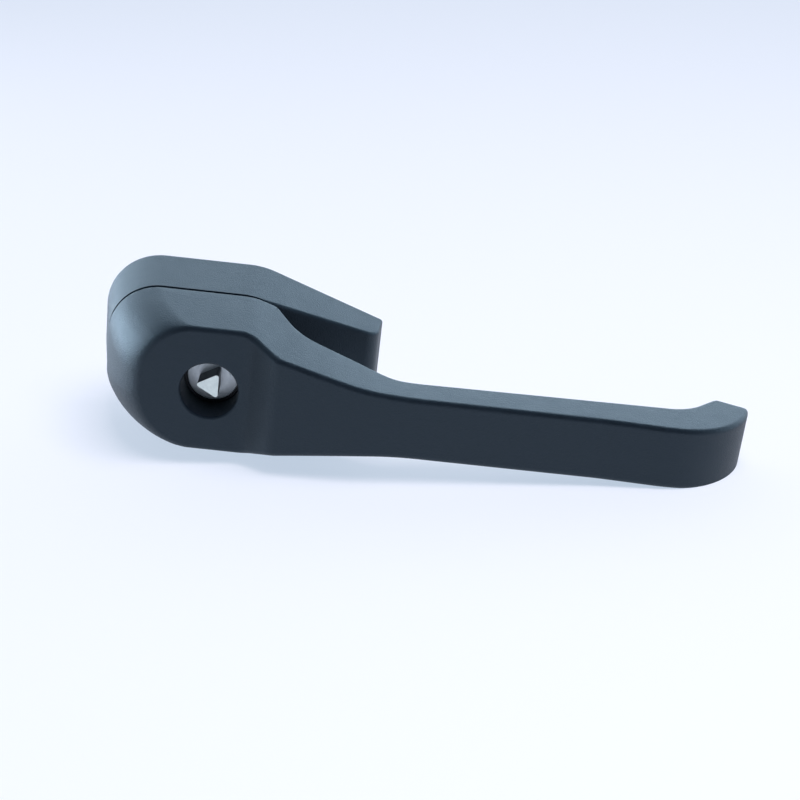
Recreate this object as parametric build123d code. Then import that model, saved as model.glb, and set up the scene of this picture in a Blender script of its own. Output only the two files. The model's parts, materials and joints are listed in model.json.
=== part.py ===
from build123d import *
import math
import os

os.makedirs("parts", exist_ok=True)

# Cabinet swing handle. Sizes are in millimetres.
# Every piece is drawn with the door face on the ground plane, the lock axis standing up at the
# origin and the lever along +X, so a height is a distance in front of the door. place() turns
# the finished piece to its working position, with the front of the handle facing -Y.

# Clearances that tie the fits together
RUN = 0.06
SEAT = 0.02
FACE_GAP = 0.05

# Base housing, outline on the door and outline at its top
BASE_HEIGHT = 20.7
BASE_HALF = 24.0
BASE_LEFT = 38.2
BASE_CORNER = 18.0
BASE_SHOULDER = 24.0
BASE_TOP_HALF = 22.0
BASE_TOP_LEFT = 34.2
BASE_TOP_CORNER = 16.2
BASE_TOP_SHOULDER = 22.0
BASE_WALL = 3.2

# Tapered tail of the base under the arm
TAIL_TAPER = 0.3557
TAIL_END = 49.3
TAIL_END_HALF = 10.1
TAIL_TOP_END = 47.2
TAIL_TOP_END_HALF = 8.6
TAIL_SLOPE_START = 14.2
TAIL_SLOPE = 0.269
TAIL_NOSE = 5.5
TAIL_END_DRAFT = 0.1
TAIL_CORNER = 2.0
TAIL_EDGE = 1.2

# Fixing bosses and gasket
FIXING_OFFSET = 30.0
FIXING_BOSS = 4.5
FIXING_HOLE = 2.1
FIXING_DEPTH = 12.0
GASKET_INSET = 0.8
GASKET_WIDTH = 1.6
GASKET_DEPTH = 1.2
RIB = 2.0

# Head of the lever
HEAD_GAP = 0.3
HEAD_BACK = BASE_HEIGHT + HEAD_GAP
HEAD_FRONT = 45.3
HEAD_HALF = 19.7
HEAD_DRAFT = 0.095
HEAD_SEAM = 6.0
CUSHION_START = 19.7
CUSHION_RUN = 8.5
CUSHION_DROP = 26.0
CUSHION_DRAFT = 0.255
CUSHION_FLAT = 2.0
CUSHION_SPREAD = 0.152
CUSHION_LIFT = 0.03
EDGE = 1.6

# Neck, arm and hooked tip of the lever, half widths at a level above the arm and at the head back
ARM_FRONT = 57.2
ARM_HALF = 9.75
ARM_LEVEL = 60.0
ARM_REACH = 170.0
NECK_FRONT = 11.1, 19.8, 50.7
NECK_FRONT_HALF = 15.15
NECK_FRONT_BENDS = 12.0, 10.0, 130.0
NECK_BACK = 9.9, 20.5, 50.7
NECK_BACK_HALF = 18.3
NECK_BACK_BENDS = 19.0, 14.0, 130.0
TIP_FRONT = 58.25
TIP_BEND = 156.1
TIP_OUTER = 24.0
TIP_INNER = 14.0
TIP_LENGTH = 160.8
TIP_LOW = 37.6
TIP_INSIDE = 151.0, 33.1
TIP_EDGE = 0.8
BACK_EDGE = 1.2
NECK_ROOT = 16.7

# Side view of the lever: front line from the head over the rise, back line from the head's back
RISE_LINE = [(10.4, HEAD_FRONT), (19.4, 52.95), (44.5, ARM_FRONT), (116.0, ARM_FRONT), (133.5, TIP_FRONT)]
RISE_BENDS = [8.0, 7.0, 60.0, 60.0, 30.0]
BACK_LINE = [(NECK_ROOT, HEAD_BACK), (25.3, 32.9), (42.0, 38.4), (54.6, 44.95), (141.4, 42.85)]
BACK_BENDS = [TIP_INNER, 12.0, 40.0, 18.0]

# Hollows in the back of the lever
HEAD_WALL = 3.2
POCKET_TOP = 38.0
NECK_POCKET_HALF = 15.0, 8.4
NECK_POCKET_END = 36.0
NECK_POCKET_TOP = 48.0
ARM_POCKETS = 62.0, 131.0
ARM_POCKET_HALF = 6.2
ARM_POCKET_TOP = 51.0
ARM_RIB = 2.4

# Bearing stack. The room between the side walls of the base sets the thrust washer, then the
# spindle's flange, the stop pin's circle, the hub and its bore, each inside the one before.
BEARING_LOW = 7.5
BEARING_ROOM = BASE_HALF + (BASE_TOP_HALF - BASE_HALF) * BEARING_LOW / BASE_HEIGHT - BASE_WALL
WASHER_OUTER = BEARING_ROOM - 5 * FACE_GAP
FLANGE = WASHER_OUTER - 0.6
STOP_CIRCLE = FLANGE - 1.7
HUB = STOP_CIRCLE - 2.5
HUB_WALL = 4.5
HUB_BORE = HUB - HUB_WALL
HUB_LOW = 6.6
HUB_ROOT = HUB + 3.0
WASHER_INNER = HUB + 0.3
BUSH_OUTER = HUB + 1.5
BUSH_FLANGE = HUB + 3.5
BUSH_FLANGE_THICK = 1.25
BUSH_LOW = 15.0
BEARING_OUTER = BUSH_FLANGE + 1.8

# Lock core, its sleeve and its retaining ring
LOCK_BORE = 8.6
LOCK_RIM = 0.8
LOCK_SHOULDER = 26.0
LOCK_FACE = 34.1
SLEEVE_WALL = 0.6
SLEEVE_FLANGE = 1.6
CORE_FLANGE = HUB_BORE - 0.3
CORE_FLANGE_THICK = 1.9
CORE_STEM = 5.0
KEY_SIDE = 8.1
KEY_POINT = 180
KEY_HEIGHT = 7.3
KEY_CORNER = 0.7
KEY_STEP = 5.2
KEY_STEP_HEIGHT = 0.35
RETAINER_THICK = 1.2
RETAINER_GROOVE = HUB_BORE + 0.6
RETAINER_WIDTH = 2.1
RETAINER_GAP_HALF = 2.6
RETAINER_EYE = 1.7
RETAINER_EYE_HOLE = 0.8
RETAINER_EYE_IN = 2.6
RETAINER_EYE_SIDE = 4.0

# Locking bolt and the eccentric pin that drives it
BOLT_WIDTH = 8.0
BOLT_LOW = 9.0
BOLT_HIGH = 14.0
BOLT_HEAD = 11.0
BOLT_HEAD_BACK = 4.5
BOLT_HEAD_FRONT = 4.0
BOLT_SLOT_PLAY = 0.3
CRANK = 2.2
CRANK_PIN = 1.6
CRANK_PLAY = 0.12
STEM_GAP = 0.2

# Spindle, its screws, thrust washer and stop pin
FLANGE_LOW = 3.4
SPINDLE_SQUARE = 10.0
SPINDLE_END = -24.0
SCREW_CIRCLE = (HUB + HUB_BORE) / 2
SCREW = 1.5
SCREW_HEAD = 2.8
SCREW_TIP = 12.4
SCREW_ANGLES = 45.0, 135.0, 225.0, 315.0
STOP_ANGLE = 45.0
STOP = 1.25
STOP_TOP = 12.0
SWING = 90.0

# Cam screw and washer on the square end
CAM_SCREW = 3.0
CAM_SCREW_DEPTH = 12.0
CAM_SCREW_FLATS = 10.0
CAM_SCREW_HEAD = 4.0
CAM_WASHER = 9.0
CAM_WASHER_THICK = 1.6

# Seal rings
HUB_SEAL = 0.75
HUB_SEAL_HEIGHT = 17.5
CORE_SEAL = 0.7
CORE_SEAL_HEIGHT = 29.5


def mix(first, last, share):
    return first + (last - first) * share


def rod(radius, low, high, x=0.0, y=0.0):
    body = Cylinder(radius, high - low, align=(Align.CENTER, Align.CENTER, Align.MIN))
    return Pos(x, y, low) * body


def tube(outer, inner, low, high, x=0.0, y=0.0):
    return rod(outer, low, high, x, y) - rod(inner, low - 1, high + 1, x, y)


def block(x_low, x_high, y_low, y_high, low, high):
    body = Box(x_high - x_low, y_high - y_low, high - low, align=Align.MIN)
    return Pos(x_low, y_low, low) * body


def on_circle(radius, angle):
    turn = math.radians(angle)
    return radius * math.cos(turn), radius * math.sin(turn)


def rounded(points, radii, height=0.0):
    # flat face with its own corner radius at every point
    line = FilletPolyline(*points, radius=radii, close=True)
    return Pos(0, 0, height) * make_face(line.edges())


def side_slab(points, radii, half=2 * BASE_HALF):
    # side view drawn as distance along the lever and height, thickened across the handle
    line = FilletPolyline(*points, radius=radii, close=True)
    return extrude(Plane.XZ * make_face(line.edges()), amount=half, both=True)


def place(piece):
    # door face from the ground plane to the XZ plane, front towards -Y
    return Rot(90, 0, 0) * piece


def save(piece, name):
    done = place(piece)
    done.label = name
    export_step(done, "parts/" + name + ".step")


def base_outline(level, inset=0.0, beyond=0.0, tail_corner=TAIL_CORNER):
    # rounded end on the left, shoulders and a straight tapered tail on the right, which can
    # run on beyond its own end
    share = level / BASE_HEIGHT
    slant = math.hypot(1, TAIL_TAPER)
    left = mix(BASE_LEFT, BASE_TOP_LEFT, share) - inset
    half = mix(BASE_HALF, BASE_TOP_HALF, share) - inset
    corner = mix(BASE_CORNER, BASE_TOP_CORNER, share) - inset
    shoulder = mix(BASE_SHOULDER, BASE_TOP_SHOULDER, share) - inset
    end = mix(TAIL_END, TAIL_TOP_END, share) - inset
    end_half = mix(TAIL_END_HALF, TAIL_TOP_END_HALF, share) - inset * (slant - TAIL_TAPER)
    bend = end - (half - end_half) / TAIL_TAPER
    end += beyond
    end_half -= beyond * TAIL_TAPER
    points = [(-left, -half), (bend, -half), (end, -end_half), (end, end_half), (bend, half), (-left, half)]
    return rounded(points, [corner, shoulder, tail_corner, tail_corner, shoulder, corner], level)


def base_block(inset=0.0):
    # outline body trimmed by the sloped top of the tail, smaller all round by the inset
    levels = (0, BASE_HEIGHT)
    body = loft([base_outline(level, inset, TAIL_NOSE, 0) for level in levels], ruled=True)
    top = BASE_HEIGHT - inset
    end = TAIL_END - inset
    start = TAIL_SLOPE_START - inset * TAIL_SLOPE
    nose = top - (end - start) * TAIL_SLOPE
    left = -2 * BASE_LEFT
    points = [(left, 0), (end, 0), (end - TAIL_END_DRAFT * nose, nose), (start, top), (left, top)]
    return body & side_slab(points, [0, 0, TAIL_NOSE, 0, 0])


def base_housing():
    # hollow from the door side, with bearing boss, fixing bosses and ribs
    body = base_block()
    for side in (1, -1):
        body = fillet([edge for edge in body.edges() if on_tail_edge(edge, side)], TAIL_EDGE)
    hollow = base_block(BASE_WALL)
    bosses = rod(BEARING_OUTER, BEARING_LOW, BASE_HEIGHT)
    for x in (-FIXING_OFFSET, FIXING_OFFSET):
        bosses += rod(FIXING_BOSS, 0, BASE_HEIGHT, x)
    bosses += block(-BASE_LEFT, TAIL_END, -RIB / 2, RIB / 2, BEARING_LOW, BASE_HEIGHT)
    body = body - (hollow - bosses)
    body -= rod(HUB + 2 * RUN, -1, BASE_HEIGHT + 1)
    body -= rod(BUSH_OUTER + SEAT, BUSH_LOW, BASE_HEIGHT + 1)
    body -= rod(BUSH_FLANGE + SEAT, HEAD_BACK - FACE_GAP - BUSH_FLANGE_THICK, BASE_HEIGHT + 1)
    for x in (-FIXING_OFFSET, FIXING_OFFSET):
        body -= rod(FIXING_HOLE, -1, FIXING_DEPTH, x)
    body -= base_channel(GASKET_INSET, GASKET_INSET + GASKET_WIDTH, GASKET_DEPTH + FACE_GAP)
    # notches that take the locking bolt with the lever closed and open
    for angle in (180, 180 + SWING):
        notch = block(0, bolt_throw() + HUB + 0.3, -BOLT_WIDTH / 2 - 0.3, BOLT_WIDTH / 2 + 0.3,
                      BOLT_LOW - 0.3, BOLT_HIGH + 0.3)
        body -= Rot(0, 0, angle) * notch
    x, y = on_circle(STOP_CIRCLE, STOP_ANGLE)
    body -= rod(STOP, BEARING_LOW - 1, STOP_TOP, x, y)
    return body


def on_tail_edge(edge, side):
    # edges along one side of the sloped top, over the nose and down to the door
    middle = edge.center()
    beside = middle.Y * side > TAIL_END_HALF / 2
    return middle.X > TAIL_SLOPE_START + FIXING_BOSS and beside and middle.Z > 1.0


def base_channel(inner_from, inner_to, depth):
    # band that follows the outline on the door
    band = base_outline(0, inner_from) - base_outline(0, inner_to)
    return extrude(band, amount=depth)


def door_gasket():
    return base_channel(GASKET_INSET + FACE_GAP, GASKET_INSET + GASKET_WIDTH - FACE_GAP, GASKET_DEPTH)


def hub_bush():
    top = HEAD_BACK - FACE_GAP
    body = rod(BUSH_OUTER, BUSH_LOW, top) + rod(BUSH_FLANGE, top - BUSH_FLANGE_THICK, top)
    return body - rod(HUB + RUN, BUSH_LOW - 1, top + 1)


def thrust_washer():
    body = tube(WASHER_OUTER, WASHER_INNER, HUB_LOW + FACE_GAP, BEARING_LOW - FACE_GAP)
    x, y = on_circle(STOP_CIRCLE, STOP_ANGLE)
    return body - rod(STOP + RUN, HUB_LOW, BEARING_LOW, x, y)


def stop_pin():
    x, y = on_circle(STOP_CIRCLE, STOP_ANGLE)
    body = rod(STOP, FLANGE_LOW, STOP_TOP, x, y)
    return chamfer(body.edges().filter_by(GeomType.CIRCLE), 0.2)


def cushion_left(depth):
    # left end of the head at a depth below its front face, elliptical and then slightly drafted
    fall = 1 - min(depth + CUSHION_LIFT, CUSHION_DROP) / CUSHION_DROP
    return CUSHION_START + CUSHION_RUN * math.sqrt(1 - fall * fall) + CUSHION_DRAFT * (depth + CUSHION_LIFT)


def head_half(depth, lift=0.0):
    # half width of the head at a depth, with the rounded front edge tangent to the drafted side
    slant = math.hypot(1, HEAD_DRAFT)
    centre = HEAD_HALF + HEAD_DRAFT * EDGE - EDGE * slant
    if depth < EDGE - (EDGE + lift) * HEAD_DRAFT / slant:
        return centre + math.sqrt((EDGE + lift) ** 2 - (EDGE - depth) ** 2)
    return HEAD_HALF + lift * slant + HEAD_DRAFT * depth


def cushion_section(depth, right, inset=-CUSHION_LIFT):
    half = head_half(depth, max(-inset, 0)) - max(inset, 0)
    corner = half - CUSHION_FLAT - CUSHION_SPREAD * (depth + CUSHION_LIFT)
    left = cushion_left(depth) - max(inset, 0)
    points = [(right, -half), (-left, -half), (-left, half), (right, half)]
    return rounded(points, [0, corner, corner, 0], HEAD_FRONT - depth)


def outside_cushion():
    # what the domed left end of the head leaves out of a plain block: sections follow the round
    # front edge and then step down to the back, a hair outside the straight part of the head
    tilt = math.asin(HEAD_DRAFT / math.hypot(1, HEAD_DRAFT))
    last = math.pi / 2 - tilt
    depths = [(EDGE + CUSHION_LIFT) * (1 - math.cos(last * step / 6)) - CUSHION_LIFT for step in range(7)]
    round_end = depths[-1]
    deep = HEAD_FRONT - HEAD_BACK + 1 - round_end
    depths += [round_end + deep * (step / 14) ** 1.25 for step in range(1, 15)]
    dome = loft([cushion_section(depth, HEAD_SEAM + 2) for depth in depths])
    around = block(-2 * BASE_LEFT, HEAD_SEAM, -2 * HEAD_HALF, 2 * HEAD_HALF, HEAD_BACK - 0.5, ARM_LEVEL + 1)
    return around - dome


def lever_outline(level, stations, half, middle_half, bends):
    # plan outline of head, neck and arm, plain at the left end
    first, second, third = stations
    points = [(-BASE_LEFT, half), (first, half), (second, middle_half), (third, ARM_HALF)]
    points.append((ARM_REACH, ARM_HALF - 0.1))
    mirrored = [(x, -y) for x, y in reversed(points)]
    radii = [0] + list(bends) + [0, 0] + list(reversed(bends)) + [0]
    return rounded(points + mirrored, radii, level)


def lever_side():
    # side view from the head over the rise to the arm, round the hooked tip and back underneath
    left = -2 * BASE_LEFT
    front = [(left, HEAD_FRONT)] + RISE_LINE + [(TIP_BEND, TIP_FRONT)]
    tip = [(TIP_LENGTH, TIP_LOW), TIP_INSIDE]
    back = list(reversed(BACK_LINE))
    radii = [0] + RISE_BENDS + [TIP_OUTER, 0, 0] + BACK_BENDS + [0, 0]
    return side_slab(front + tip + back + [(left, HEAD_BACK)], radii)


def lever_body():
    # plan outline narrowing from the head to the arm, trimmed by the side view, edges rounded,
    # then the left end of the head domed
    front_half = HEAD_HALF - HEAD_DRAFT * (ARM_LEVEL - HEAD_FRONT)
    back_half = HEAD_HALF + HEAD_DRAFT * (HEAD_FRONT - HEAD_BACK)
    front = lever_outline(ARM_LEVEL, NECK_FRONT, front_half, NECK_FRONT_HALF, NECK_FRONT_BENDS)
    back = lever_outline(HEAD_BACK, NECK_BACK, back_half, NECK_BACK_HALF, NECK_BACK_BENDS)
    body = loft([back, front], ruled=True) & lever_side()
    front_line = [(-BASE_LEFT, HEAD_FRONT)] + RISE_LINE + [(TIP_BEND, TIP_FRONT)]
    for side in (1, -1):
        body = fillet([edge for edge in body.edges() if along(edge, side, front_line)], EDGE)
    for side in (1, -1):
        body = fillet([edge for edge in body.edges() if along(edge, side, BACK_LINE)], BACK_EDGE)
    body = fillet([edge for edge in body.edges() if on_tip_end(edge)], TIP_EDGE)
    return body - outside_cushion()


def height_on(line, x):
    # height of a side-view line at a distance along the lever
    for start, stop in zip(line, line[1:]):
        if start[0] <= x <= stop[0]:
            return mix(start[1], stop[1], (x - start[0]) / (stop[0] - start[0]))
    return line[-1][1]


def along(edge, side, line):
    # long edge of one side that follows a line of the side view
    middle = edge.center()
    inside = line[0][0] < middle.X < line[-1][0]
    close = abs(middle.Z - height_on(line, middle.X)) < 2 * EDGE
    return inside and close and middle.Y * side > ARM_HALF / 2 and edge.length > 0.3


def on_tip_end(edge):
    # the two edges across the end face of the hook
    middle = edge.center()
    return middle.X > TIP_INSIDE[0] - 0.5 and abs(middle.Y) < 1.0 and middle.Z < TIP_LOW + 0.5


def bolt_throw():
    # travel of the bolt while the core turns a quarter
    return 2 * CRANK * math.sin(math.radians(SWING / 2))


def head_pocket():
    # hollow left of the hub, narrowing under the dome, and hollow in the neck right of it
    levels = (HEAD_BACK - 1, POCKET_TOP)
    plans = [cushion_section(HEAD_FRONT - level, -HUB_ROOT / 2, HEAD_WALL) for level in levels]
    body = loft(plans, ruled=True) + neck_pocket()
    return body - rod(HUB_ROOT, HEAD_BACK - 2, ARM_LEVEL)


def neck_pocket():
    # low beside the hub root, under the flat front of the head, and high under the rise
    points = [(HUB_ROOT / 2, -NECK_POCKET_HALF[0]), (NECK_POCKET_END, -NECK_POCKET_HALF[1])]
    points += [(x, -y) for x, y in reversed(points)]
    plan = rounded(points, [0, 3.0, 3.0, 0], HEAD_BACK - 1)
    low = extrude(plan, amount=POCKET_TOP - HEAD_BACK + 1)
    high = extrude(plan, amount=NECK_POCKET_TOP - HEAD_BACK + 1)
    under_rise = block(HUB_ROOT, 2 * NECK_POCKET_END, -HUB_ROOT, HUB_ROOT, HEAD_BACK - 2, ARM_LEVEL)
    return low + (high & under_rise)


def arm_pockets():
    # three shallow pockets in the back of the arm with ribs between them
    start, stop = ARM_POCKETS
    length = (stop - start - 2 * ARM_RIB) / 3
    body = None
    for step in range(3):
        low = start + step * (length + ARM_RIB)
        pocket = block(low, low + length, -ARM_POCKET_HALF, ARM_POCKET_HALF, HEAD_BACK, ARM_POCKET_TOP)
        pocket = fillet(pocket.edges().filter_by(Axis.Z), 2.0)
        body = pocket if body is None else body + pocket
    return body


def lever_handle():
    body = lever_body()
    body -= head_pocket()
    body -= arm_pockets()
    body += rod(HUB, HUB_LOW, HEAD_BACK + 1)
    body -= rod(LOCK_BORE, HUB_LOW, HEAD_FRONT + 1)
    body -= rod(HUB_BORE, HUB_LOW - 1, LOCK_SHOULDER)
    rim = [e for e in body.edges().filter_by(GeomType.CIRCLE) if abs(e.center().Z - HEAD_FRONT) < 0.01]
    body = fillet([edge for edge in rim if edge.radius < LOCK_BORE + 0.01], LOCK_RIM)
    body -= tube(RETAINER_GROOVE, HUB_BORE - 1, retainer_low() - 0.1, retainer_low() + RETAINER_THICK + 0.1)
    seal_low = HUB_SEAL_HEIGHT - HUB_SEAL - FACE_GAP
    seal_high = HUB_SEAL_HEIGHT + HUB_SEAL + FACE_GAP
    body -= tube(HUB + 1, HUB + RUN - 2 * HUB_SEAL - FACE_GAP, seal_low, seal_high)
    body -= block(-HUB - 1, 0, -BOLT_WIDTH / 2 - RUN, BOLT_WIDTH / 2 + RUN, BOLT_LOW - RUN, BOLT_HIGH + RUN)
    for angle in SCREW_ANGLES:
        x, y = on_circle(SCREW_CIRCLE, angle)
        body -= rod(SCREW + SEAT, HUB_LOW - 1, SCREW_TIP + 0.4, x, y)
    return body


def seal_ring(outer, half):
    # square-cut ring with broken edges
    body = tube(outer, outer - 2 * half, -half, half)
    return chamfer(body.edges().filter_by(GeomType.CIRCLE), half / 2)


def hub_seal():
    return Pos(0, 0, HUB_SEAL_HEIGHT) * seal_ring(HUB + FACE_GAP, HUB_SEAL)


def sleeve_low():
    return LOCK_SHOULDER - SLEEVE_FLANGE


def core_sleeve():
    body = rod(LOCK_BORE - RUN, sleeve_low(), LOCK_FACE)
    body += rod(HUB_BORE - FACE_GAP, sleeve_low(), LOCK_SHOULDER - SEAT)
    body -= rod(LOCK_BORE - RUN - SLEEVE_WALL, sleeve_low() - 1, LOCK_FACE + 1)
    return body


def core_radius():
    return LOCK_BORE - RUN - SLEEVE_WALL - RUN


def core_back():
    # underside of the core's flange
    return sleeve_low() - RUN - CORE_FLANGE_THICK


def retainer_low():
    return core_back() - RUN - RETAINER_THICK


def key_triangle():
    # equilateral driver with one point towards the left and rounded corners
    reach = KEY_SIDE / math.sqrt(3)
    points = [on_circle(reach, KEY_POINT + turn) for turn in (0, 120, 240)]
    return rounded(points, [KEY_CORNER, KEY_CORNER, KEY_CORNER])


def lock_core():
    body = rod(core_radius(), core_back(), LOCK_FACE)
    body = chamfer(body.edges().group_by(Axis.Z)[-1], 0.3)
    body += rod(KEY_STEP, LOCK_FACE - 1, LOCK_FACE + KEY_STEP_HEIGHT)
    body += extrude(Pos(0, 0, LOCK_FACE - 1) * key_triangle(), amount=KEY_HEIGHT + 1)
    body += rod(CORE_FLANGE, core_back(), sleeve_low() - RUN)
    body += rod(CORE_STEM, BOLT_HIGH + STEM_GAP, core_back() + 1)
    x, y = on_circle(CRANK, SWING / 2)
    body += rod(CRANK_PIN, BOLT_LOW + STEM_GAP, BOLT_HIGH + 1, x, y)
    seal_low = CORE_SEAL_HEIGHT - CORE_SEAL - FACE_GAP
    seal_high = CORE_SEAL_HEIGHT + CORE_SEAL + FACE_GAP
    body -= tube(core_radius() + 1, core_radius() + RUN - 2 * CORE_SEAL - FACE_GAP, seal_low, seal_high)
    return body


def core_seal():
    return Pos(0, 0, CORE_SEAL_HEIGHT) * seal_ring(core_radius() + RUN / 2, CORE_SEAL)


def core_retainer():
    # spring ring in its groove, open on one side, with two eyes for the pliers
    low = retainer_low()
    high = low + RETAINER_THICK
    eye_x = RETAINER_GROOVE - RETAINER_EYE_IN
    body = tube(RETAINER_GROOVE - RUN, RETAINER_GROOVE - RETAINER_WIDTH, low, high)
    body -= block(0, RETAINER_GROOVE + 1, -RETAINER_GAP_HALF, RETAINER_GAP_HALF, low - 1, high + 1)
    for eye_y in (-RETAINER_EYE_SIDE, RETAINER_EYE_SIDE):
        body += tube(RETAINER_EYE, RETAINER_EYE_HOLE, low, high, eye_x, eye_y)
    for eye_y in (-RETAINER_EYE_SIDE, RETAINER_EYE_SIDE):
        body -= rod(RETAINER_EYE_HOLE, low - 1, high + 1, eye_x, eye_y)
    return body


def locking_bolt():
    # tongue with a rounded tip and a wider head with a cross slot for the eccentric pin
    slot_x, slot_y = on_circle(CRANK, SWING / 2)
    tongue = block(-HUB - 1, slot_x, -BOLT_WIDTH / 2, BOLT_WIDTH / 2, BOLT_LOW, BOLT_HIGH)
    tongue = tongue & rod(HUB - 2 * FACE_GAP, BOLT_LOW, BOLT_HIGH)
    head = block(slot_x - BOLT_HEAD_BACK, slot_x + BOLT_HEAD_FRONT, -BOLT_HEAD / 2, BOLT_HEAD / 2,
                 BOLT_LOW, BOLT_HIGH)
    body = tongue + fillet(head.edges().filter_by(Axis.Z), 0.8)
    half = CRANK_PIN + CRANK_PLAY
    slot = block(slot_x - half, slot_x + half, slot_y - half - BOLT_SLOT_PLAY,
                 CRANK + half + BOLT_SLOT_PLAY, BOLT_LOW - 1, BOLT_HIGH + 1)
    return body - slot


def spindle():
    # flange with the swing stop cut into its rim, centring boss and square end
    body = rod(FLANGE, FLANGE_LOW, HUB_LOW)
    body -= stop_sector()
    body += rod(HUB_BORE - FACE_GAP, FLANGE_LOW, BOLT_LOW - 0.1)
    half = SPINDLE_SQUARE / 2
    square = block(-half, half, -half, half, SPINDLE_END, FLANGE_LOW + 1)
    body += chamfer(square.edges().filter_by(Axis.Z), 0.6)
    body -= rod(CAM_SCREW + SEAT, SPINDLE_END - 1, SPINDLE_END + CAM_SCREW_DEPTH + 1)
    for angle in SCREW_ANGLES:
        x, y = on_circle(SCREW_CIRCLE, angle)
        body -= rod(SCREW + SEAT, FLANGE_LOW - 1, HUB_LOW + 1, x, y)
        body -= Pos(x, y, screw_low()) * screw_cone(SEAT)
        body -= rod(SCREW_HEAD + SEAT, FLANGE_LOW - 1, screw_low(), x, y)
    return body


def stop_sector():
    # part of the rim that is cut away so the stop pin allows a quarter turn
    margin = math.degrees(math.asin((STOP + RUN) / STOP_CIRCLE))
    first = STOP_ANGLE - SWING - margin
    sweep = SWING + 2 * margin
    ring = make_face(CenterArc((0, 0), FLANGE + 1, first, sweep).edges()
                     + [Edge.make_line((0, 0, 0), on_circle(FLANGE + 1, first) + (0,)),
                        Edge.make_line(on_circle(FLANGE + 1, first + sweep) + (0,), (0, 0, 0))])
    sector = extrude(Pos(0, 0, FLANGE_LOW - 1) * ring, amount=HUB_LOW - FLANGE_LOW + 2)
    return sector - rod(STOP_CIRCLE - STOP - 2 * RUN, FLANGE_LOW - 2, HUB_LOW + 2)


def screw_low():
    # back of the screw heads, just under the surface of the flange
    return FLANGE_LOW + 2 * FACE_GAP


def screw_cone(extra=0.0):
    # countersunk head, wide at the back
    height = SCREW_HEAD - SCREW
    return Cone(SCREW_HEAD + extra, SCREW + extra, height, align=(Align.CENTER, Align.CENTER, Align.MIN))


def spindle_screws():
    one = rod(SCREW, screw_low(), SCREW_TIP)
    one += Pos(0, 0, screw_low()) * screw_cone()
    socket = extrude(RegularPolygon(1.0, 6, major_radius=False), amount=1.3)
    one -= Pos(0, 0, FLANGE_LOW) * socket
    screws = Part()
    for angle in SCREW_ANGLES:
        x, y = on_circle(SCREW_CIRCLE, angle)
        screws += Pos(x, y, 0) * one
    return screws


def cam_washer():
    top = SPINDLE_END - SEAT
    return tube(CAM_WASHER, CAM_SCREW + 0.2, top - CAM_WASHER_THICK, top)


def cam_screw():
    head_top = SPINDLE_END - 2 * SEAT - CAM_WASHER_THICK
    body = rod(CAM_SCREW, head_top, SPINDLE_END + CAM_SCREW_DEPTH)
    head = extrude(RegularPolygon(CAM_SCREW_FLATS / 2, 6, major_radius=False), amount=CAM_SCREW_HEAD)
    head = Pos(0, 0, head_top - CAM_SCREW_HEAD) * head
    flat = CAM_SCREW_FLATS / 2
    trim = Cone(flat, flat + CAM_SCREW_HEAD, CAM_SCREW_HEAD, align=(Align.CENTER, Align.CENTER, Align.MIN))
    return body + (head & Pos(0, 0, head_top - CAM_SCREW_HEAD) * trim)


save(base_housing(), "base_housing")
save(door_gasket(), "door_gasket")
save(hub_bush(), "hub_bush")
save(thrust_washer(), "thrust_washer")
save(stop_pin(), "stop_pin")
save(lever_handle(), "lever_handle")
save(hub_seal(), "hub_seal")
save(core_sleeve(), "core_sleeve")
save(core_retainer(), "core_retainer")
save(lock_core(), "lock_core")
save(core_seal(), "core_seal")
save(locking_bolt(), "locking_bolt")
save(spindle(), "spindle")
save(spindle_screws(), "spindle_screws")
save(cam_washer(), "cam_washer")
save(cam_screw(), "cam_screw")
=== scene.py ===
import json
import math

import bmesh
import bpy
from mathutils import Matrix, Vector
from mathutils.geometry import convex_hull_2d, intersect_point_line

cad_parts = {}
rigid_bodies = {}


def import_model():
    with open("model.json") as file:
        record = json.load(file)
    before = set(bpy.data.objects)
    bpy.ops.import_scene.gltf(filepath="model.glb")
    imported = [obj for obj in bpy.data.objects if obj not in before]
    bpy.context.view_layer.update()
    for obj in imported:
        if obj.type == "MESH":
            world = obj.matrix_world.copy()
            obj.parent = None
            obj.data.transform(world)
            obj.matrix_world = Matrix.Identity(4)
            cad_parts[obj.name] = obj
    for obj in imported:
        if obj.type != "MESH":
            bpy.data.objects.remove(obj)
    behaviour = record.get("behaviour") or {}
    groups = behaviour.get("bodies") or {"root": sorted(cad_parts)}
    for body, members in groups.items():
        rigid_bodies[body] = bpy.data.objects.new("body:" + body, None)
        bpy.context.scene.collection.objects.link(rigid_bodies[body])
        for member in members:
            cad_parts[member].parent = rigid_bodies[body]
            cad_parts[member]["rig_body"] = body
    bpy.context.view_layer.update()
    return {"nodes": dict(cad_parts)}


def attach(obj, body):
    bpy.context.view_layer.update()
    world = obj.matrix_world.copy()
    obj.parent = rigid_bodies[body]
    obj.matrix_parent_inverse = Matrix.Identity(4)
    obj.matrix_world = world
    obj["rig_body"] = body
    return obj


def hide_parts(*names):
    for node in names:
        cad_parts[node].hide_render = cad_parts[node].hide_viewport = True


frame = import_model()
nodes = frame["nodes"]

# The photo shows the handle lying on a table, on the lower edge of its base and the lower edge of
# the lever's tip, so the table leans against the handle's own level.
TABLE_LEAN = math.radians(6.235)
TABLE_UP = Vector((-math.sin(TABLE_LEAN), 0, math.cos(TABLE_LEAN)))
TABLE_ALONG = Vector((math.cos(TABLE_LEAN), 0, math.sin(TABLE_LEAN)))
TABLE_LEVEL = -0.0247
TABLE_REACH = 3.0

# Camera of the photo
CAMERA_PLACE = Vector((0.0424, -0.4865, 0.2066))
CAMERA_HEADING = math.radians(-1.055)
CAMERA_DOWN = math.radians(24.719)
CAMERA_FOCAL = 74.08
CAMERA_SENSOR = 36.0
CAMERA_NEAR = 0.01

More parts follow.
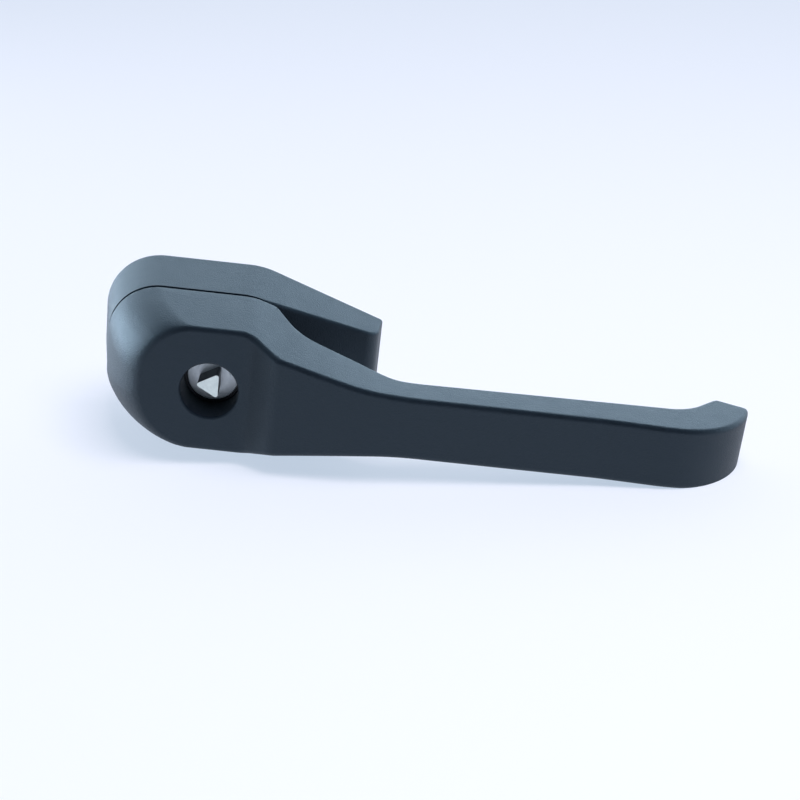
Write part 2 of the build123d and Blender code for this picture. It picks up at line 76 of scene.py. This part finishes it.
# Studio light. The walls are brightest behind the handle and darkest above the camera. They show in
# the gloss at full strength and light the table less.
WALL_COLOUR = 0.66, 0.84, 1.0
WALL_BRIGHTNESS = 4.1
WALL_SHARE_IN_GLOSS = 1.0
WALL_SHARE_ON_TABLE = 0.45
WALL_DARK_SIDE = -0.10, -0.62, 0.78
WALL_LEVELS = [(0.0, 1.0), (0.42, 0.97), (0.55, 0.40), (0.70, 0.12), (0.90, 0.03)]

# How near two points of the CAD mesh lie to be one, and how far two faces may turn and still be
# one smooth surface
SAME_POINT = 0.000001
SMOOTH_TURN = math.radians(30)

# Depths in front of the door of the lock's disc and of the face of its triangular driver
DISC_LEVEL = 0.0341
DRIVER_LEVEL = 0.0414

# Outer back edge of the lever's head: its depth in front of the door, how sharply its faces meet at
# least, how near it lies to the head's outline, and its rounding
RIM_LEVEL = 0.021
RIM_LEVEL_PLAY = 0.00001
RIM_TURN = math.radians(40)
RIM_OUTLINE_PLAY = 0.00006
RIM_OUTLINE_OVERLAP = 0.01
RIM_ROUND = 0.0013
RIM_SEGMENTS = 3

# Inner corner of the lever's hooked end, seen from above: its point, the directions its two faces
# look in, the rounding of the CAD solid and the fuller one of the casting. The faces near it are
# cut into strips first.
HOOK_CORNER = 0.1510, 0.0331
HOOK_FACES = math.radians(225.0), math.radians(294.7)
HOOK_SMALL = 0.0008
HOOK_ROUND = 0.0022
HOOK_STRIPS = 12
HOOK_CUT_FROM = 0.1475
HOOK_CUT_DEPTH = 0.0365
HOOK_CUT_PLAY = 0.0000002
HOOK_DRAW_FROM = 0.1470
HOOK_DRAW_REACH = 2 * HOOK_ROUND


# Finishes


def new_finish(name):
    finish = bpy.data.materials.new(name)
    finish.use_nodes = True
    tree = finish.node_tree
    shader = tree.nodes["Principled BSDF"]
    place = tree.nodes.new("ShaderNodeTexCoord")
    return finish, tree, shader, place.outputs["Object"]


def grain(tree, place, scale, detail=4.0, rough=0.55):
    noise = tree.nodes.new("ShaderNodeTexNoise")
    noise.inputs["Scale"].default_value = scale
    noise.inputs["Detail"].default_value = detail
    noise.inputs["Roughness"].default_value = rough
    tree.links.new(place, noise.inputs["Vector"])
    return noise.outputs["Fac"]


def ramp(tree, value, stops):
    # stops: (position, colour) from low to high
    node = tree.nodes.new("ShaderNodeValToRGB")
    band = node.color_ramp
    band.elements[0].position, band.elements[1].position = stops[0][0], stops[-1][0]
    band.elements[0].color = tuple(stops[0][1]) + (1,)
    band.elements[1].color = tuple(stops[-1][1]) + (1,)
    for position, colour in stops[1:-1]:
        band.elements.new(position).color = tuple(colour) + (1,)
    tree.links.new(value, node.inputs["Fac"])
    return node.outputs["Color"]


def mottle(tree, value, dark, light):
    return ramp(tree, value, [(0.3, dark), (0.7, light)])


def spread(tree, value, low, high):
    node = tree.nodes.new("ShaderNodeMapRange")
    node.inputs["To Min"].default_value = low
    node.inputs["To Max"].default_value = high
    tree.links.new(value, node.inputs["Value"])
    return node.outputs["Result"]


def share_between(tree, value, low, high):
    node = tree.nodes.new("ShaderNodeMapRange")
    node.inputs["From Min"].default_value = low
    node.inputs["From Max"].default_value = high
    tree.links.new(value, node.inputs["Value"])
    return node.outputs["Result"]


def bump(tree, shader, value, strength, distance):
    node = tree.nodes.new("ShaderNodeBump")
    node.inputs["Strength"].default_value = strength
    node.inputs["Distance"].default_value = distance
    tree.links.new(value, node.inputs["Height"])
    tree.links.new(node.outputs["Normal"], shader.inputs["Normal"])


def black_powder_coat():
    finish, tree, shader, place = new_finish("black powder coat")
    shader.inputs["Metallic"].default_value = 0.0
    shader.inputs["Specular IOR Level"].default_value = 0.63
    shader.inputs["Specular Tint"].default_value = (0.62, 0.84, 1.0, 1)
    soft = grain(tree, place, scale=260.0, detail=3.0)
    colour = mottle(tree, soft, (0.0040, 0.0055, 0.0088), (0.0056, 0.0076, 0.0120))
    tree.links.new(colour, shader.inputs["Base Color"])
    tree.links.new(spread(tree, soft, low=0.46, high=0.56), shader.inputs["Roughness"])
    orange_peel = grain(tree, place, scale=2300.0, detail=2.5)
    bump(tree, shader, orange_peel, strength=0.55, distance=0.0003)
    return finish


def satin_zinc():
    finish, tree, shader, place = new_finish("satin zinc")
    shader.inputs["Metallic"].default_value = 1.0
    cloud = grain(tree, place, scale=620.0, detail=5.0, rough=0.6)
    clouded = mottle(tree, cloud, (0.82, 0.83, 0.84), (1.0, 1.0, 1.0))
    # cast disc, darker than the face partly for its cast finish and partly as painted shade deep in
    # the bore; sides of the driver painted dark as a painted reflection of the dark bore wall; and
    # the driver's bright ground face, told apart by their depth
    disc, painted_dark_sides, face = (0.62, 0.67, 0.70), (0.15, 0.16, 0.17), (0.72, 0.79, 0.76)
    depth = tree.nodes.new("ShaderNodeSeparateXYZ")
    tree.links.new(place, depth.inputs["Vector"])
    height = share_between(tree, depth.outputs["Y"], -DISC_LEVEL, -DRIVER_LEVEL)
    zone = ramp(tree, height,
                [(0.0, disc), (0.06, disc), (0.10, painted_dark_sides), (0.97, painted_dark_sides), (0.985, face)])
    colour = tree.nodes.new("ShaderNodeMix")
    colour.data_type = "RGBA"
    colour.blend_type = "MULTIPLY"
    colour.inputs["Factor"].default_value = 1.0
    tree.links.new(zone, colour.inputs["A"])
    tree.links.new(clouded, colour.inputs["B"])
    tree.links.new(colour.outputs["Result"], shader.inputs["Base Color"])
    tree.links.new(spread(tree, cloud, low=0.36, high=0.46), shader.inputs["Roughness"])
    bump(tree, shader, grain(tree, place, scale=1500.0, detail=3.0), strength=0.15, distance=0.0001)
    return finish


def dark_plastic():
    finish, tree, shader, place = new_finish("dark plastic")
    soft = grain(tree, place, scale=400.0, detail=2.0)
    colour = mottle(tree, soft, (0.018, 0.022, 0.029), (0.026, 0.031, 0.040))
    tree.links.new(colour, shader.inputs["Base Color"])
    tree.links.new(spread(tree, soft, low=0.30, high=0.40), shader.inputs["Roughness"])
    return finish


def bearing_plastic():
    finish, tree, shader, place = new_finish("bearing plastic")
    soft = grain(tree, place, scale=300.0, detail=2.0)
    colour = mottle(tree, soft, (0.70, 0.69, 0.64), (0.76, 0.75, 0.70))
    tree.links.new(colour, shader.inputs["Base Color"])
    tree.links.new(spread(tree, soft, low=0.38, high=0.48), shader.inputs["Roughness"])
    return finish


def seal_rubber():
    finish, tree, shader, place = new_finish("seal rubber")
    soft = grain(tree, place, scale=600.0, detail=3.0)
    colour = mottle(tree, soft, (0.014, 0.014, 0.014), (0.024, 0.024, 0.024))
    tree.links.new(colour, shader.inputs["Base Color"])
    tree.links.new(spread(tree, soft, low=0.62, high=0.78), shader.inputs["Roughness"])
    bump(tree, shader, grain(tree, place, scale=3000.0, detail=2.0), strength=0.2, distance=0.00005)
    return finish


def turned_steel(name, dark, light, rough_low, rough_high):
    finish, tree, shader, place = new_finish(name)
    shader.inputs["Metallic"].default_value = 1.0
    cloud = grain(tree, place, scale=700.0)
    tree.links.new(mottle(tree, cloud, dark, light), shader.inputs["Base Color"])
    tree.links.new(spread(tree, cloud, rough_low, rough_high), shader.inputs["Roughness"])
    bump(tree, shader, grain(tree, place, scale=2400.0, detail=2.0), strength=0.1, distance=0.00005)
    return finish


powder_coat = black_powder_coat()
zinc = satin_zinc()
plain_steel = turned_steel("plain steel", (0.36, 0.36, 0.37), (0.50, 0.50, 0.50),
                           rough_low=0.28, rough_high=0.40)
spring_steel = turned_steel("spring steel", (0.08, 0.08, 0.085), (0.13, 0.13, 0.14),
                            rough_low=0.35, rough_high=0.5)
zinc_plate = turned_steel("zinc plate", (0.58, 0.60, 0.63), (0.70, 0.72, 0.75),
                          rough_low=0.2, rough_high=0.3)
sleeve_plastic = dark_plastic()
bush_plastic = bearing_plastic()
rubber = seal_rubber()

# Finish and slot of every node
finish_of = {
    "base_housing": (powder_coat, "black_coat"),
    "lever_handle": (powder_coat, "black_coat"),
    "door_gasket": (rubber, "seal_rubber"),
    "hub_seal": (rubber, "seal_rubber"),
    "core_seal": (rubber, "seal_rubber"),
    "hub_bush": (bush_plastic, "bearing_plastic"),
    "thrust_washer": (bush_plastic, "bearing_plastic"),
    "core_sleeve": (sleeve_plastic, "dark_plastic"),
    "lock_core": (zinc, "satin_zinc"),
    "core_retainer": (spring_steel, "spring_steel"),
    "stop_pin": (plain_steel, "plain_steel"),
    "locking_bolt": (plain_steel, "plain_steel"),
    "spindle": (plain_steel, "plain_steel"),
    "spindle_screws": (zinc_plate, "zinc_plate"),
    "cam_washer": (zinc_plate, "zinc_plate"),
    "cam_screw": (zinc_plate, "zinc_plate"),
}


# Pieces


def from_front(vert):
    return Vector((vert.co.x, vert.co.z))


def at_rim_level(vert):
    return abs(vert.co.y + RIM_LEVEL) < RIM_LEVEL_PLAY


def head_rim(shape):
    # edges at the back of the lever's head that lie on the outline of all points at that depth
    level = [vert for vert in shape.verts if at_rim_level(vert)]
    outline = convex_hull_2d([(vert.co.x, vert.co.z) for vert in level])
    corners = [from_front(level[index]) for index in outline]
    rim = []
    for edge in shape.edges:
        if len(edge.link_faces) != 2 or edge.calc_face_angle(0.0) < RIM_TURN:
            continue
        if not all(at_rim_level(vert) for vert in edge.verts):
            continue
        middle = (from_front(edge.verts[0]) + from_front(edge.verts[1])) / 2
        for one, two in zip(corners, corners[1:] + corners[:1]):
            near, share = intersect_point_line(middle, one, two)
            between = -RIM_OUTLINE_OVERLAP < share < 1 + RIM_OUTLINE_OVERLAP
            if between and (near - middle).length < RIM_OUTLINE_PLAY:
                rim.append(edge)
                break
    return rim


def soften_head_rim(shape):
    # the casting's rounded back edge, which opens the dark line between head and base
    bmesh.ops.bevel(shape, geom=head_rim(shape), offset=RIM_ROUND, offset_type="OFFSET",
                    segments=RIM_SEGMENTS, profile=0.5, affect="EDGES", material=-1,
                    clamp_overlap=False)


def cut_hook_strips(shape, centre):
    first, last = HOOK_FACES
    for step in range(HOOK_STRIPS + 1):
        angle = first + (last - first) * step / HOOK_STRIPS
        faces = [face for face in shape.faces
                 if any(vert.co.x > HOOK_CUT_FROM and vert.co.y > -HOOK_CUT_DEPTH
                        for vert in face.verts)]
        edges = {edge for face in faces for edge in face.edges}
        verts = {vert for face in faces for vert in face.verts}
        bmesh.ops.bisect_plane(shape, geom=faces + list(edges) + list(verts), dist=HOOK_CUT_PLAY,
                               plane_co=centre, plane_no=(math.sin(angle), math.cos(angle), 0))


def soften_hook_end(shape):
    # the corner's points are drawn in from the small round and the flat faces to the larger round
    first, last = HOOK_FACES
    half = (last - first) / 2
    middle = first + half
    reach = HOOK_ROUND / math.cos(half)
    centre = Vector((HOOK_CORNER[0] - reach * math.cos(middle),
                     -HOOK_CORNER[1] + reach * math.sin(middle), 0))
    cut_hook_strips(shape, centre)
    offset = (HOOK_ROUND - HOOK_SMALL) / math.cos(half)
    small_half = math.atan2(HOOK_SMALL * math.sin(half), offset + HOOK_SMALL * math.cos(half))
    for vert in shape.verts:
        across = vert.co - centre
        turn = math.atan2(-across.y, across.x) % math.tau - middle
        away = math.hypot(across.x, across.y) > HOOK_DRAW_REACH
        if abs(turn) > half or vert.co.x < HOOK_DRAW_FROM or away:
            continue
        if abs(turn) < small_half:
            aside = offset * math.sin(turn)
            solid_reach = offset * math.cos(turn) + math.sqrt(HOOK_SMALL ** 2 - aside ** 2)
        else:
            solid_reach = HOOK_ROUND / math.cos(half - abs(turn))
        share = HOOK_ROUND / solid_reach
        vert.co.x = centre.x + across.x * share
        vert.co.y = centre.y + across.y * share


def merged_copy(node):
    # the CAD solid with its points joined, flat faces kept flat and curved ones smooth
    source = nodes[node]
    mesh = source.data.copy()
    piece = bpy.data.objects.new("dressed_" + node, mesh)
    bpy.context.scene.collection.objects.link(piece)
    shape = bmesh.new()
    shape.from_mesh(mesh)
    bmesh.ops.remove_doubles(shape, verts=shape.verts, dist=SAME_POINT)
    if node == "lever_handle":
        soften_head_rim(shape)
        soften_hook_end(shape)
    for face in shape.faces:
        face.smooth = True
    for edge in shape.edges:
        if len(edge.link_faces) == 2:
            edge.smooth = edge.calc_face_angle(0.0) < SMOOTH_TURN
    shape.to_mesh(mesh)
    shape.free()
    mesh.materials.clear()
    even = piece.modifiers.new("even shading", "WEIGHTED_NORMAL")
    even.keep_sharp = True
    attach(piece, source["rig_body"])
    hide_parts(node)
    return piece


for node, (finish, slot) in finish_of.items():
    piece = merged_copy(node)
    piece.data.materials.append(finish)


# Table, light and camera


def table():
    shape = bmesh.new()
    bmesh.ops.create_grid(shape, x_segments=1, y_segments=1, size=TABLE_REACH)
    turn = Matrix((TABLE_ALONG, Vector((0, 1, 0)), TABLE_UP)).transposed().to_4x4()
    place = Matrix.Translation(TABLE_UP * TABLE_LEVEL) @ turn
    bmesh.ops.transform(shape, matrix=place, verts=shape.verts)
    mesh = bpy.data.meshes.new("table")
    shape.to_mesh(mesh)
    shape.free()
    piece = bpy.data.objects.new("table", mesh)
    bpy.context.scene.collection.objects.link(piece)
    # pale top, whose own glow keeps the shadows on it light and bluish
    finish, _, shader, _ = new_finish("table top")
    shader.inputs["Base Color"].default_value = (0.425, 0.315, 0.292, 1)
    shader.inputs["Roughness"].default_value = 0.5
    shader.inputs["Specular IOR Level"].default_value = 0.0
    shader.inputs["Emission Color"].default_value = (0.480, 0.572, 0.690, 1)
    shader.inputs["Emission Strength"].default_value = 1.0
    mesh.materials.append(finish)


def lamp(name, place, aim, size, power, colour, in_gloss=True):
    light = bpy.data.lights.new(name, "AREA")
    light.shape = "RECTANGLE"
    light.size, light.size_y = size
    light.energy = power
    light.color = colour
    holder = bpy.data.objects.new(name, light)
    bpy.context.scene.collection.objects.link(holder)
    direction = (Vector(aim) - Vector(place)).normalized()
    holder.rotation_euler = direction.to_track_quat("-Z", "Y").to_euler()
    holder.location = place
    holder.visible_glossy = in_gloss


def photo_camera():
    lens = bpy.data.cameras.new("photo camera")
    lens.lens = CAMERA_FOCAL
    lens.sensor_width = CAMERA_SENSOR
    lens.clip_start = CAMERA_NEAR
    camera = bpy.data.objects.new("photo camera", lens)
    bpy.context.scene.collection.objects.link(camera)
    across, ahead = TABLE_ALONG, Vector((0, 1, 0))
    level = math.sin(CAMERA_HEADING) * across + math.cos(CAMERA_HEADING) * ahead
    forward = math.cos(CAMERA_DOWN) * level - math.sin(CAMERA_DOWN) * TABLE_UP
    right = math.cos(CAMERA_HEADING) * across - math.sin(CAMERA_HEADING) * ahead
    up = right.cross(forward)
    turn = Matrix((right, up, -forward)).transposed().to_4x4()
    camera.matrix_world = Matrix.Translation(CAMERA_PLACE) @ turn
    bpy.context.scene.camera = camera


def product(tree, one, two):
    node = tree.nodes.new("ShaderNodeMath")
    node.operation = "MULTIPLY"
    for value, socket in zip((one, two), node.inputs):
        if isinstance(value, float):
            socket.default_value = value
        else:
            tree.links.new(value, socket)
    return node.outputs["Value"]


def studio_walls():
    world = bpy.data.worlds.new("studio")
    bpy.context.scene.world = world
    world.use_nodes = True
    tree = world.node_tree
    background = tree.nodes["Background"]
    background.inputs["Color"].default_value = WALL_COLOUR + (1,)
    place = tree.nodes.new("ShaderNodeTexCoord")
    facing = tree.nodes.new("ShaderNodeVectorMath")
    facing.operation = "DOT_PRODUCT"
    facing.inputs[1].default_value = WALL_DARK_SIDE
    tree.links.new(place.outputs["Generated"], facing.inputs[0])
    darkness = share_between(tree, facing.outputs["Value"], -1.0, 1.0)
    walls = ramp(tree, darkness, [(position, (level,) * 3) for position, level in WALL_LEVELS])
    path = tree.nodes.new("ShaderNodeLightPath")
    share = spread(tree, path.outputs["Is Diffuse Ray"], WALL_SHARE_IN_GLOSS, WALL_SHARE_ON_TABLE)
    strength = product(tree, product(tree, walls, WALL_BRIGHTNESS), share)
    tree.links.new(strength, background.inputs["Strength"])


table()
studio_walls()
lamp("overhead", place=(0.22, -0.28, 0.95), aim=(0.06, 0, 0), size=(0.7, 0.6), power=12.5,
     colour=(0.74, 0.88, 1.0), in_gloss=False)
lamp("left wall", place=(-0.6, 0.22, -0.02), aim=(0, 0, 0), size=(0.4, 0.12), power=3.6,
     colour=(0.68, 0.85, 1.0))
photo_camera()
bpy.context.scene.view_settings.view_transform = "Standard"
